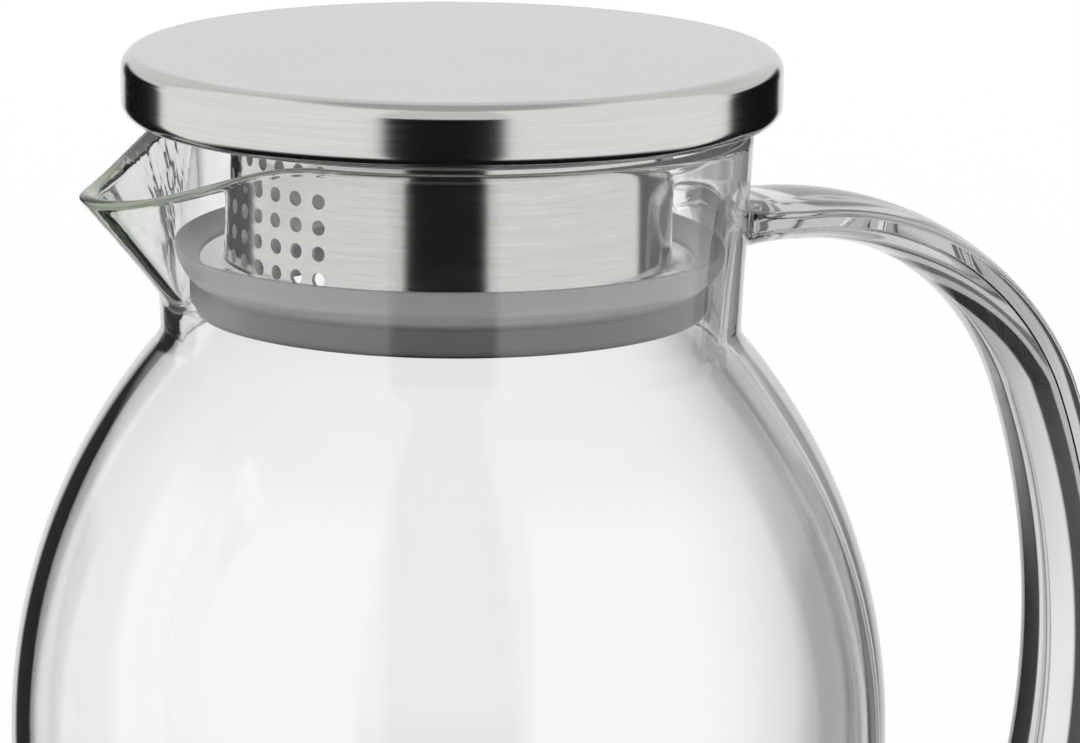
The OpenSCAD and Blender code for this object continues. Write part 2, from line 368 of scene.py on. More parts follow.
def makeSilicone():
    look = siliconeLook
    material, tree, coords = newMaterial("greySilicone")
    z = coords.parts()[2]
    cloud = coords.noise(look["cloudScale"], detail=4) - 0.5
    grain = coords.noise(look["grainScale"], detail=2)
    # darker below the lip: partly the thicker silicone's own tone, partly painted shade for less light from
    # below
    body = mixColour(z.step(*look["lipUp"]) + cloud * look["cloudy"], look["thick"], look["thin"])
    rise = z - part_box("seal_ring")[0].z
    Wire.feed(tree.nodes["Principled BSDF"], {
        # painted shade: a dark band along the bottom edge stands in for the shaded underside
        "Base Color": mixColour(rise.step(*look["footRise"]), look["foot"], body),
        "Roughness": look["roughness"] + cloud * look["uneven"],
        "Transmission Weight": look["clear"],
        "IOR": look["ior"],
        "Normal": bumpFrom(grain, look["grainMarks"], look["grainDepth"]),
    })
    return material


glass = makeGlass()
lidSteel = makeSteel("brushedSteelLid", roughness=0.13, marks=0.12)
sleeveSteel = makeSteel("brushedSteelSleeve", roughness=0.11, marks=0.08)
# inside of the sleeve: a rough, mostly non-metal copy of the steel with a pale tone, painted light that
# lightens the shaded inside
insideSteel = makeSteel(
    "dullSteelInsidePaintedLight", roughness=0.5, marks=0.3, metallic=0.15, tones=("bright", "paintedLightPale"))
silicone = makeSilicone()
print("materials made")

# blown jug: outline, spout and handle
jug = {
    "height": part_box("glass_body")[1].z,
    "bellyRadius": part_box("glass_body")[1].x,
    "bellyHeight": 106 * mm,
    "footRadius": 57 * mm,
    "footRound": 8 * mm,
    "neckRadius": 46.4 * mm,
    "neckHeight": 34 * mm,
    "neckFlare": 1.6 * mm,
    "neckRound": 5 * mm,
    "wall": 2.9 * mm,
    "floor": 4.6 * mm,
    "innerFootRound": 7 * mm,
    "steps": 320,
    "floorSteps": 8,
    "roundSteps": 9,
    "lowerSteps": 16,
    "shoulderSteps": 22,
    "neckSteps": 28,
    "rimSteps": 6,
}
jug["rimRadius"] = jug["neckRadius"] + jug["neckFlare"]

spout = {
    "tipRadius": jug["rimRadius"] + 13.6 * mm,
    "drop": 8.6 * mm,
    "keelDrop": 28 * mm,
    "keelSoft": radians(7.0),
}

strap = {
    "width": 28 * mm,
    "thick": 7.4 * mm,
    "gripThick": 10.6 * mm,
    "outerCrown": 0.2,
    "innerCrown": 0.5,
    "edgeRound": 0.6 * mm,
    "crownSteps": 20,
    "edgeSteps": 4,
    "height": jug["height"] - 17.9 * mm,
    "fingerRoom": 32.5 * mm,
    "bendTurn": 70.6,
    "gripTurn": 34,
    "lowTurn": 56,
    "bendShare": 0.728,
    "gripShare": 2.896,
    "lowShare": 0.7,
    "bendSteps": 56,
    "gripSteps": 32,
    "lowSteps": 34,
}
strap["reach"] = jug["bellyRadius"] + strap["fingerRoom"] + strap["gripThick"] / 2

# where the strap melts into the wall
weld = {
    "depth": 1.4 * mm,
    "farthest": 40 * mm,
    "halvings": 40,
    "steps": 44,
    "crowding": 1.9,
    "swell": 1.0 * mm,
    "reach": 9 * mm,
    "swellEase": 2.2,
    "round": 1.2 * mm,
    "roundShare": 0.85,
    "merge": 0.02 * mm,
    "creaseNear": 0.05 * mm,
    "creaseTurn": radians(12),
    "blend": 1.8 * mm,
    "blendUnder": 0.5 * mm,
    "passes": 20,
    "passShare": 0.5,
}

shoulderDrop = jug["bellyRadius"] - jug["neckRadius"]
shoulderRise = jug["height"] - jug["neckHeight"] - jug["bellyHeight"]
shoulderRadius = (shoulderRise ** 2 + shoulderDrop ** 2) / (2 * shoulderDrop)
shoulderX = jug["bellyRadius"] - shoulderRadius
lowerDrop = jug["bellyRadius"] - jug["footRadius"]
lowerRadius = (jug["bellyHeight"] ** 2 + lowerDrop ** 2) / (2 * lowerDrop)
lowerX = jug["bellyRadius"] - lowerRadius
neckX = jug["neckRadius"] + jug["neckRound"]
neckSpan = shoulderRadius + jug["neckRound"]
neckZ = jug["bellyHeight"] + sqrt(neckSpan ** 2 - (neckX - shoulderX) ** 2)
rimZ = jug["height"] - jug["wall"] / 2


def wallOutline(inset, bottom, footRound, topAngles):
    # one side of the glass from the middle of the base to the rim
    bellyZ, rounds = jug["bellyHeight"], jug["roundSteps"]
    span = lowerRadius - inset - footRound
    footZ = bottom + footRound
    footX = lowerX + sqrt(span ** 2 - (bellyZ - footZ) ** 2)
    footTurn = -degrees(asin((bellyZ - footZ) / span))
    shoulderTurn = degrees(asin((neckZ - bellyZ) / neckSpan))
    rimX = jug["rimRadius"] - jug["wall"] / 2
    points = [(x, bottom) for x in spaced(0, footX, jug["floorSteps"])[:-1]]
    points += arcPoints(footX, footZ, footRound, -90, footTurn, rounds)
    points += arcPoints(lowerX, bellyZ, lowerRadius - inset, footTurn, 0, jug["lowerSteps"])[1:]
    points += arcPoints(shoulderX, bellyZ, shoulderRadius - inset, 0, shoulderTurn, jug["shoulderSteps"])[1:]
    points += arcPoints(neckX, neckZ, jug["neckRound"] + inset, shoulderTurn + 180, 180, rounds)[1:]
    neckXs = spaced(jug["neckRadius"] - inset, jug["rimRadius"] - inset, jug["neckSteps"])
    points += list(zip(neckXs, spaced(neckZ, rimZ, jug["neckSteps"])))[1:-1]
    return points + arcPoints(rimX, rimZ, jug["wall"] / 2, *topAngles, jug["rimSteps"])


def pullSpout(bm):
    # each height of the rim side is drawn out along two lines that touch the neck and meet at the keel
    keelZ, soft = jug["height"] - spout["keelDrop"], spout["keelSoft"]
    fullReach = 1 / cos(acos(jug["rimRadius"] / spout["tipRadius"]) + soft)
    for vert in bm.verts:
        t = (vert.co.z - keelZ) / spout["keelDrop"]
        if t <= 0 or vert.co.x > 0:
            continue
        touch = acos(1 / (1 + (fullReach - 1) * t))
        off = touch - hypot(atan2(vert.co.y, -vert.co.x), soft)
        if off <= 0:
            continue
        vert.co.x /= cos(off)
        vert.co.y /= cos(off)
        fall = tan(off) / tan(max(touch - soft, off))
        vert.co.z -= spout["drop"] * t * smooth(fall)


def wallRadius(z):
    # outer radius of the jug where the handle meets it
    if z > neckZ:
        return jug["neckRadius"] + jug["neckFlare"] * (z - neckZ) / (rimZ - neckZ)
    return lowerX + sqrt(lowerRadius ** 2 - (jug["bellyHeight"] - z) ** 2)


def pastWall(spot):
    # how far a point is outside the jug's wall
    return hypot(spot.x, spot.y) - wallRadius(spot.z)


def runToWall(bm, edges, way):
    # draws each point of the last ring along a line until it is inside the glass wall
    def toWall(start):
        near, far = 0, weld["farthest"]
        for _ in range(weld["halvings"]):
            half = (near + far) / 2
            inside = pastWall(start + way * half) < -weld["depth"]
            near, far = (near, half) if inside else (half, far)
        return near

    def offLine(start, spot):
        gap = spot - start
        return (gap - way * gap.dot(way)).length

    paths = [(vert.co.copy(), toWall(vert.co)) for vert in ringVerts(edges)]
    for i in range(weld["steps"]):
        made = bmesh.ops.extrude_edge_only(bm, edges=edges)["geom"]
        edges = onlyEdges(made)
        share = 1 - (1 - (i + 1) / weld["steps"]) ** weld["crowding"]
        for vert in onlyVerts(made):
            start, length = min(paths, key=lambda path: offLine(path[0], vert.co))
            vert.co = start + way * (length * share)
    return edges


def bendStrap(bm, edges, centre, turn, steps, thickFrom, thickTo):
    # swings the last ring round a centre and thickens it on the way
    thick = [thickFrom + (thickTo - thickFrom) * smooth(i / steps) for i in range(steps + 1)]
    angle = radians(turn / steps)
    for before, after in zip(thick, thick[1:]):
        geom = ringVerts(edges) + edges
        made = bmesh.ops.spin(bm, geom=geom, cent=centre, axis=(0, 1, 0), angle=angle, steps=1)
        edges = onlyEdges(made["geom_last"])
        ring = ringVerts(edges)
        middle = sum((v.co for v in ring), Vector()) / len(ring)
        tilt = atan2(middle.x - centre.x, middle.z - centre.z)
        space = Matrix.Rotation(-tilt, 4, "Y") @ Matrix.Translation(-middle)
        bmesh.ops.scale(bm, verts=ring, vec=(1, 1, after / before), space=space)
    return edges


def strapSection(thick, half, edge):
    # points (up, across): a flat arc on top, a fuller arc below, a plain band at each side
    def side(crown):
        rise = thick * crown
        radius = (half ** 2 + rise ** 2) / (2 * rise)
        corner = sqrt((radius - edge) ** 2 - (half - edge) ** 2) + thick / 2 - radius
        return radius, corner, degrees(asin((half - edge) / (radius - edge)))

    topR, topAt, topTurn = side(strap["outerCrown"])
    lowR, lowAt, lowTurn = side(strap["innerCrown"])
    inner, crowns, edges = half - edge, strap["crownSteps"], strap["edgeSteps"]
    points = arcPoints(thick / 2 - topR, 0, topR, -topTurn, topTurn, crowns)
    points += arcPoints(topAt, inner, edge, topTurn, 90, edges)[1:]
    points += arcPoints(-lowAt, inner, edge, 90, 180 - lowTurn, edges)
    points += arcPoints(lowR - thick / 2, 0, lowR, 180 - lowTurn, 180 + lowTurn, crowns)[1:]
    points += arcPoints(-lowAt, -inner, edge, 180 + lowTurn, 270, edges)[1:]
    return points + arcPoints(topAt, -inner, edge, 270, 360 - topTurn, edges)[:-1]


def swellEnds(bm, lowWay):
    # the strap swells into the wall at both welds
    bm.normal_update()
    moves = []
    for vert in bm.verts:
        gap = max(pastWall(vert.co), 0)
        if gap >= weld["reach"]:
            continue
        short = max(weld["round"] * weld["roundShare"] - gap, 0)
        swell = weld["swell"] * (1 - gap / weld["reach"]) ** weld["swellEase"]
        swell += weld["round"] - sqrt(weld["round"] ** 2 - short ** 2)
        along = lowWay if vert.co.z < jug["bellyHeight"] else Vector((1, 0, 0))
        way = vert.normal - along * vert.normal.dot(along)
        moves.append((vert, way.normalized() * swell))
    for vert, move in moves:
        vert.co += move
    bm.normal_update()


def makeStrap():
    bendR = (strap["reach"] - jug["neckRadius"]) * strap["bendShare"]
    gripR, lowR = bendR * strap["gripShare"], bendR * strap["lowShare"]
    bendTurn, gripEnd = radians(strap["bendTurn"]), radians(strap["bendTurn"] + strap["gripTurn"])
    endTurn = gripEnd + radians(strap["lowTurn"])
    bendX = strap["reach"] - bendR * sin(bendTurn) - gripR * (1 - sin(bendTurn))
    bendAt = Vector((bendX, 0, strap["height"] - bendR))
    gripAt = bendAt + Vector((sin(bendTurn), 0, cos(bendTurn))) * (bendR - gripR)
    lowAt = gripAt + Vector((sin(gripEnd), 0, cos(gripEnd))) * (gripR - lowR)
    lowWay = Vector((cos(endTurn), 0, -sin(endTurn)))

    thin, full = strap["thick"], strap["gripThick"]
    section = strapSection(thin, strap["width"] / 2, strap["edgeRound"])
    bm = bmesh.new()
    ring = [bm.verts.new((bendX, y, strap["height"] + up)) for up, y in section]
    edges = [bm.edges.new(pair) for pair in zip(ring, ring[1:] + ring[:1])]
    topEnd = runToWall(bm, edges, Vector((-1, 0, 0)))
    edges = bendStrap(bm, edges, bendAt, strap["bendTurn"], strap["bendSteps"], thin, full)
    edges = bendStrap(bm, edges, gripAt, strap["gripTurn"], strap["gripSteps"], full, full)
    edges = bendStrap(bm, edges, lowAt, strap["lowTurn"], strap["lowSteps"], full, full)
    lowEnd = runToWall(bm, edges, lowWay)
    for end in (topEnd, lowEnd):
        bmesh.ops.contextual_create(bm, geom=end)
    bmesh.ops.remove_doubles(bm, verts=bm.verts, dist=mergeGap)
    bmesh.ops.recalc_face_normals(bm, faces=bm.faces)
    swellEnds(bm, lowWay)
    return bm


def softenWeld(bm):
    # melts the crease between wall and strap
    bmesh.ops.remove_doubles(bm, verts=bm.verts, dist=weld["merge"])
    bm.normal_update()

    def creased(edge):
        spot = edge.verts[0].co
        if spot.x <= 0 or abs(spot.y) >= strap["width"] or abs(pastWall(spot)) >= weld["creaseNear"]:
            return False
        return len(edge.link_faces) == 2 and edge.calc_face_angle_signed() < -weld["creaseTurn"]

    crease = [edge.verts[0].co.copy() for edge in bm.edges if creased(edge)]
    tree = KDTree(len(crease))
    for i, spot in enumerate(crease):
        tree.insert(spot, i)
    tree.balance()

    def melts(spot):
        return spot.x > 0 and pastWall(spot) > -weld["blendUnder"] and tree.find(spot)[2] < weld["blend"]

    soft = [vert for vert in bm.verts if melts(vert.co)]
    for _ in range(weld["passes"]):
        bmesh.ops.smooth_vert(
            bm, verts=soft, factor=weld["passShare"], use_axis_x=True, use_axis_y=True, use_axis_z=True)
    bmesh.ops.recalc_face_normals(bm, faces=bm.faces)


def makeJug():
    outside = wallOutline(0, 0, jug["footRound"], (0, 90))
    inside = wallOutline(jug["wall"], jug["floor"], jug["innerFootRound"], (180, 90))
    bm = spinOutline(outside + inside[-2::-1], jug["steps"])
    pullSpout(bm)
    bm.normal_update()
    piece = toObject("jugGlass", bm, glass)
    handle = toObject("strapBlank", makeStrap(), glass)
    joined = piece.modifiers.new("weld", "BOOLEAN")
    joined.operation = "UNION"
    joined.object = handle
    joined.solver = "MANIFOLD"
    bpy.context.view_layer.update()
    graph = bpy.context.evaluated_depsgraph_get()
    welded = bpy.data.meshes.new_from_object(piece.evaluated_get(graph))
    piece.modifiers.clear()
    piece.data = welded
    bpy.data.objects.remove(handle)
    bm = bmesh.new()
    bm.from_mesh(welded)
    softenWeld(bm)
    bm.to_mesh(welded)
    bm.free()
    welded.polygons.foreach_set("use_smooth", [True] * len(welded.polygons))
    return piece


jugGlass = makeJug()
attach(jugGlass, "jug")
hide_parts("glass_body", "glass_handle")
print("jug blown and handle welded:", len(jugGlass.data.polygons), "faces")

# lid: pressed cap, dished plate under it. A narrow margin beside each bend keeps the flat faces flat
lid = {
    "radius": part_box("lid_cap")[1].x,
    "bottom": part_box("lid_cap")[0].z,
    "top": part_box("lid_cap")[1].z,
    "round": 2.6 * mm,
    "sheet": 0.9 * mm,
    "roll": 4.4 * mm,
    "rollMargin": 0.6 * mm,
    "margin": 0.25 * mm,
    "plateGap": 0.3 * mm,
    "plateRound": 1.6 * mm,
    "plateMargin": 0.2 * mm,
    "steps": 256,
    "topRings": 12,
    "plateRings": 10,
    "innerRings": 6,
    "roundSteps": 12,
    "innerSteps": 8,
    "edgeSteps": 6,
}


def makeCap():
    r, rd, sheet, margin = lid["radius"] - lid["round"], lid["round"], lid["sheet"], lid["margin"]
    top, bottom, rounds, inners = lid["top"], lid["bottom"], lid["roundSteps"], lid["innerSteps"]
    rollX = r - lid["roll"]
    outline = [(x, top) for x in spaced(0, r, lid["topRings"])[:-1]] + [(r - margin, top)]
    outline += arcPoints(r, top - rd, rd, 90, 0, rounds)
    outline += [(lid["radius"], top - rd - margin), (lid["radius"], bottom + rd + margin)]
    outline += arcPoints(r, bottom + rd, rd, 0, -90, rounds)
    outline += [(r - margin, bottom), (rollX + lid["rollMargin"], bottom)]
    outline += arcPoints(rollX + sheet / 2, bottom + sheet / 2, sheet / 2, -90, -270, lid["edgeSteps"])
    outline += [(r - margin, bottom + sheet)]
    outline += arcPoints(r, bottom + rd, rd - sheet, -90, 0, inners)
    outline += arcPoints(r, top - rd, rd - sheet, 0, 90, inners)
    outline += [(x, top - sheet) for x in spaced(r, 0, lid["innerRings"])[1:]]
    return toObject("lidCap", spinOutline(outline, lid["steps"]), lidSteel)


def makePlate():
    r, sheet, rd = lid["radius"] - lid["round"] - lid["plateGap"], lid["sheet"], lid["plateRound"]
    low, high, rounds = lid["bottom"] + sheet, lid["top"] - sheet, lid["edgeSteps"]
    outline = [(x, low) for x in spaced(0, r, lid["plateRings"])[:-2]] + [(r - rd - lid["plateMargin"], low)]
    outline += arcPoints(r - rd, low + rd, rd, -90, 0, rounds)
    outline += arcPoints(r - sheet / 2, high - sheet / 2, sheet / 2, 0, 180, rounds)
    outline += arcPoints(r - rd, low + rd, rd - sheet, 0, -90, rounds)
    outline += [(x, low + sheet) for x in spaced(r, 0, lid["innerRings"])[1:]]
    return toObject("lidPlate", spinOutline(outline, lid["steps"]), lidSteel)


lidCap, lidPlate = makeCap(), makePlate()
for piece, node in ((lidCap, "lid_cap"), (lidPlate, "lid_base_plate")):
    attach(piece, "lid")
    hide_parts(node)
print("lid pressed")

# strainer sleeve: a punched sheet, rolled up
sleeve = {
    "flangeRadius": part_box("strainer_sleeve")[1].x,
    "flangeWide": 4.6 * mm,
    "bottom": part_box("strainer_sleeve")[0].z,
    "top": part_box("strainer_sleeve")[1].z,
    "sheet": 0.7 * mm,
    "topTurn": 5 * mm,
    "flare": 0.8 * mm,
    "firstHole": 2.1 * mm,
    "hole": 2.4 * mm,
    "pitch": 4.1 * mm,
    "holeTurn": radians(7.25),
    "columns": 11,
    "rows": 5,
    "cell": 6,  # lines along each side of a punched cell
    "fieldGap": 0.02 * mm,
    "fieldMargin": 0.5 * mm,
    "plainSteps": 140,
    "footSteps": 10,
    "tubeSteps": 4,
    "topSteps": 3,
    "merge": 0.01 * mm,
    "facingOut": 0.5,
    "sharpTurn": radians(35),
}
sleeve["radius"] = sleeve["flangeRadius"] - sleeve["flangeWide"]
sleeve["step"] = sleeve["radius"] * sleeve["holeTurn"]


def punchedCell(bm, x, z, wide, low, high):
    # a piece of sheet with a round hole, a ring of faces between the two
    n = sleeve["cell"]
    edge = [(i / n - 0.5, 0) for i in range(n)] + [(0.5, i / n) for i in range(n)]
    edge += [(0.5 - i / n, 1) for i in range(n)] + [(-0.5, 1 - i / n) for i in range(n)]
    outer = [bm.verts.new((x + u * wide, 0, low + v * (high - low))) for u, v in edge]
    inner = bmesh.ops.create_circle(bm, segments=4 * n, radius=sleeve["hole"] / 2)["verts"]
    bmesh.ops.rotate(bm, verts=inner, cent=(0, 0, 0), matrix=Matrix.Rotation(pi / 2, 3, "X"))
    bmesh.ops.translate(bm, verts=inner, vec=(x, 0, z))
    loops = [bm.edges.new(pair) for pair in zip(outer, outer[1:] + outer[:1])]
    loops += list(dict.fromkeys(e for v in inner for e in v.link_edges))
    bmesh.ops.bridge_loops(bm, edges=loops)


def sheetPatch(bm, xs, zs):
    # plain sheet between the given lines
    row = [bm.verts.new((x, 0, zs[0])) for x in xs]
    edges = [bm.edges.new(pair) for pair in zip(row, row[1:])]
    for low, high in zip(zs, zs[1:]):
        made = bmesh.ops.extrude_edge_only(bm, edges=edges)["geom"]
        edges = onlyEdges(made)
        bmesh.ops.translate(bm, verts=onlyVerts(made), vec=(0, 0, high - low))


def rollSheet(point, arcLow, tubeTop):
    # sheet coordinates (width round the tube, length) to the tube, its flared foot and its turned-in top
    turn, length = point.x / sleeve["radius"] + pi, point.z
    r, z = sleeve["radius"], length
    if length < arcLow:
        bend = min((arcLow - length) / sleeve["flare"], pi / 2)
        flat = max(arcLow - length - sleeve["flare"] * pi / 2, 0)
        r += sleeve["flare"] * (1 - cos(bend)) + flat
        z = arcLow - sleeve["flare"] * sin(bend)
    elif length > tubeTop:
        r -= length - tubeTop
        z = tubeTop
    return Vector((r * cos(turn), r * sin(turn), z))


def isInside(face, tubeTop):
    # the inside of the tube and the walls of its holes
    middle = face.calc_center_median()
    radial = hypot(middle.x, middle.y)
    outward = (face.normal.x * middle.x + face.normal.y * middle.y) / radial
    under = middle.z < tubeTop - sleeve["sheet"]
    return under and outward < sleeve["facingOut"] and radial < sleeve["radius"]


def makeSleeve():
    columns, n, step, pitch = sleeve["columns"], sleeve["cell"], sleeve["step"], sleeve["pitch"]
    flangeTop = sleeve["bottom"] + sleeve["sheet"]
    arcLow, tubeTop = flangeTop + sleeve["flare"], sleeve["top"]
    footLength = sleeve["flare"] * pi / 2 + sleeve["flangeRadius"] - sleeve["radius"] - sleeve["flare"]
    heights = [flangeTop + sleeve["firstHole"] + pitch * row for row in range(sleeve["rows"])]
    cells = [(z, max(z - pitch / 2, arcLow + sleeve["fieldGap"]), z + pitch / 2) for z in heights]
    fieldLow, fieldHigh = cells[0][1], cells[-1][2]
    half = columns * step / 2
    bm = bmesh.new()
    for column in range(columns):
        for z, low, high in cells:
            punchedCell(bm, (column - (columns - 1) / 2) * step, z, step, low, high)
    fieldXs = spaced(-half, half, columns * n)
    plainXs = spaced(half, 2 * pi * sleeve["radius"] - half, sleeve["plainSteps"])
    below = spaced(arcLow - footLength, arcLow, sleeve["footSteps"]) + [fieldLow]
    above = [fieldHigh] + spaced(fieldHigh + sleeve["fieldMargin"], tubeTop, sleeve["tubeSteps"])
    above += spaced(tubeTop, tubeTop + sleeve["topTurn"], sleeve["topSteps"])[1:]
    beside = [line for _, low, high in cells for line in spaced(low, high, n)[:-1]] + [fieldHigh]
    for xs in (fieldXs, plainXs):
        sheetPatch(bm, xs, below)
        sheetPatch(bm, xs, above)
    sheetPatch(bm, plainXs, beside)
    for vert in bm.verts:
        vert.co = rollSheet(vert.co, arcLow, tubeTop)
    bmesh.ops.remove_doubles(bm, verts=bm.verts, dist=sleeve["merge"])
    bmesh.ops.recalc_face_normals(bm, faces=bm.faces)
    if max(bm.faces, key=lambda f: f.calc_center_median().z).normal.z < 0:
        bmesh.ops.reverse_faces(bm, faces=bm.faces)
    bmesh.ops.solidify(bm, geom=bm.faces, thickness=sleeve["sheet"])
    for face in bm.faces:
        face.material_index = 1 if isInside(face, tubeTop) else 0
    piece = toObject("strainerSleeve", bm, sleeveSteel)
    piece.data.materials.append(insideSteel)
    piece.data.set_sharp_from_angle(angle=sleeve["sharpTurn"])
    return piece


strainerSleeve = makeSleeve()
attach(strainerSleeve, "lid")
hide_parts("strainer_sleeve")
print("sleeve rolled:", len(strainerSleeve.data.polygons), "faces")

# seal ring with its flared lip and the slot that holds the sleeve's foot. Arcs go from one angle to
# another, in degrees, in a number of steps
seal = {
    "bottom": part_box("seal_ring")[0].z,
    "lipTop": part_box("seal_ring")[1].z,
    "lipRadius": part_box("seal_ring")[1].x,
    "play": 0.05 * mm,
    "thick": 5.9 * mm,
    "round": 1.6 * mm,
    "footArc": (-90, 0, 8),
    "boreRound": 0.6 * mm,
    "boreArc": (180, 270, 5),
    "ridge": 5.1 * mm,
    "ridgeRound": 0.5 * mm,
    "ridgeArc": (0, 70, 4),
    "ridgeDrop": 0.9 * mm,
    "grooveRound": 0.75 * mm,
    "grooveArc": (215, 170, 4),
    "grooveOut": 0.3 * mm,
    "grooveRise": 0.1 * mm,
    "rootIn": 0.3 * mm,
    "rootRise": 0.35 * mm,
    "lipSwell": 0.55 * mm,
    "swellWay": (0.75, -0.65),
    "lipEdge": 0.8 * mm,
    "lipRound": 0.5 * mm,
    "lipArc": (-20, 105, 6),
    "browIn": 0.65 * mm,
    "browDrop": 0.03 * mm,
    "lipWide": 4.25 * mm,
    "lipDrop": 2.4 * mm,
    "dipRound": 0.25 * mm,
    "dipArc": (118, 200, 5),
    "dipOut": 0.1 * mm,
    "mouthIn": 0.6 * mm,
    "mouthRise": 0.1 * mm,
    "mouthBevel": 0.05 * mm,
    "lipSteps": 10,
    "browSteps": 8,
    "steps": 256,
}
seal["radius"] = sleeve["radius"] + seal["thick"]
seal["bore"] = sleeve["radius"] - sleeve["sheet"] + seal["play"]
seal["slotRadius"] = sleeve["flangeRadius"] + seal["play"]
seal["slotFloor"] = sleeve["bottom"] - seal["play"]
seal["slotTop"] = sleeve["bottom"] + sleeve["sheet"] + seal["play"]


def makeSeal():
    bore, r, bottom, ridge = seal["bore"], seal["radius"], seal["bottom"], seal["bottom"] + seal["ridge"]
    rd, boreRd, ridgeRd, dipRd = seal["round"], seal["boreRound"], seal["ridgeRound"], seal["dipRound"]
    lipR, lipTop, lipRd = seal["lipRadius"], seal["lipTop"], seal["lipRound"]
    slotR, slotTop, slotFloor = seal["slotRadius"], seal["slotTop"], seal["slotFloor"]

    # foot and outer side, up to the groove under the lip
    outline = arcPoints(bore + boreRd, bottom + boreRd, boreRd, *seal["boreArc"])
    outline += [((bore + r) / 2, bottom)]
    outline += arcPoints(r - rd, bottom + rd, rd, *seal["footArc"])
    outline += arcPoints(r - ridgeRd, ridge - seal["ridgeDrop"], ridgeRd, *seal["ridgeArc"])
    grooveX, grooveZ = r + seal["grooveOut"], ridge + seal["grooveRise"]
    outline += arcPoints(grooveX, grooveZ, seal["grooveRound"], *seal["grooveArc"])

    # lip, swelling a little on its way out
    root = Vector((r - seal["rootIn"], ridge + seal["rootRise"]))
    rise = Vector((lipR, lipTop - seal["lipEdge"]))
    swell = Vector(seal["swellWay"]) * seal["lipSwell"]
    shares = spaced(0, 1, seal["lipSteps"])[1:-1]
    outline += [tuple(root.lerp(rise, t) + swell * 4 * t * (1 - t)) for t in shares]
    outline += arcPoints(lipR - lipRd, lipTop - lipRd, lipRd, *seal["lipArc"])
    brow = Vector((lipR - seal["browIn"], lipTop - seal["browDrop"]))
    dip = Vector((lipR - seal["lipWide"], lipTop - seal["lipDrop"]))
    outline += [tuple(brow.lerp(dip, t)) for t in spaced(0, 1, seal["browSteps"])[1:-1]]
    outline += arcPoints(dip.x + seal["dipOut"], dip.y - dipRd, dipRd, *seal["dipArc"])

    # slot for the sleeve's foot
    mouthX = slotR - seal["mouthIn"]
    outline += [(mouthX, slotTop + seal["mouthRise"]), (mouthX + seal["mouthBevel"], slotTop)]
    outline += [(slotR, slotTop), (slotR, slotFloor), (bore, slotFloor)]
    return toObject("sealRing", spinOutline(outline, seal["steps"], closed=True), silicone)


sealRing = makeSeal()
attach(sealRing, "seal")
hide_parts("seal_ring")
sealRing.visible_glossy = False  # the polished sleeve would show more of it than the real one does
print("seal moulded")

# studio: pale floor and a plain soft light tent with two dark gaps. Boxes are turns in degrees from the
# camera side, positive to its right, other pairs are soft steps along a direction's shares
studio = {
    "softbox": 1.18,
    "leftBox": (-120, -23),
    "rightBox": (19, 112),
    "edge": 5,
    "dark": 0.008,
    "backdrop": 0.9,
    "backFrom": 158,
    "high": 0.88,
    "highUp": (0.07, 0.17),
    "roof": 0.55,
    "roofUp": (0.82, 0.97),
    "low": -38,
    "lowEdge": 8,
    "lowGlow": 0.5,
    "flag": 0.6,
    "flagFrom": (0.045, 0.15),
    "flagTo": (0.34, 0.46),
    "fill": 0.95,
    "floorRadius": 1.6,
    "floorDrop": 0.2 * mm,
    "floorSides": 96,
    "floorFade": (0.35, 0.9),
    "floorColour": (0.55, 0.55, 0.55, 1),
    "floorLift": 0.47,
}

# what the solid strap gathers: boxes at the sides, and strips and patches of a grey wall behind it
rod = {
    "leftBox": (-140, -23),
    "leftLow": 0.55,
    "leftUp": (-0.55, -0.05),
    "rightBox": (19, 131),
    "wall": 0.68,
    "wallBack": (0.0, 0.2),
    "strips": (
        {"light": 0.95, "side": ((-0.26, -0.22), (-0.15, -0.11))},
        {"light": 1.2, "side": ((-0.06, -0.02), (0.06, 0.1))},
        {"light": 0.25, "side": ((-0.2, -0.12), (0.05, 0.12))},
    ),
    "patch": 0.8,
    "patchSide": (0.08, 0.15),
    "patchUp": (-0.04, 0.12),
    "crown": 0.4,
    "crownUp": (0.6, 0.7),
    "gap": 0.75,
    "gapSide": (0.18, 0.26),
    "gapUp": ((0.38, 0.46), (0.54, 0.62)),
    "glow": 0.65,
    "glowSide": ((0.1, 0.16), (0.6, 0.7)),
    "line": 0.9,
    "lineSide": ((0.18, 0.21), (0.27, 0.3)),
    "ahead": 0.85,
    "aheadSide": -0.066,
    "aheadUp": 0.024,
    "aheadEdge": (0.04, 0.08),
    "shade": 0.012,
}


def fromCamera(x, y):
    # a direction's shares to the photograph's right and to its front, and its turn in degrees
    side = x * cos(az) + y * sin(az)
    front = x * sin(az) - y * cos(az)
    return side, front, x.maths("ARCTAN2", side, front) * (180 / pi)


def softEdge(turn):
    return turn - studio["edge"] / 2, turn + studio["edge"] / 2


def tentLight(way, inGlass):
    # brightness of the tent along a direction, by its turn from the camera side and its height
    x, y, z = way.parts()
    turn = fromCamera(x, y)[2]
    left, right = (turn.band(*map(softEdge, studio[box])) for box in ("leftBox", "rightBox"))
    back = turn.maths("ABSOLUTE", turn).step(*softEdge(studio["backFrom"])) * studio["backdrop"]
    tent = studio["dark"] + left.highest(right) * (studio["softbox"] - studio["dark"])
    tent = tent.highest(back).highest(z.step(*studio["highUp"]) * studio["high"])
    roof = z.step(*studio["roofUp"])
    lowest, highest = studio["low"] - studio["lowEdge"], studio["low"] + studio["lowEdge"]
    raised = z.step(sin(radians(lowest)), sin(radians(highest)))
    under = studio["dark"] + inGlass * (studio["lowGlow"] - studio["dark"])
    return (tent * (1 - roof) + roof * studio["roof"]) * raised + under * (1 - raised)


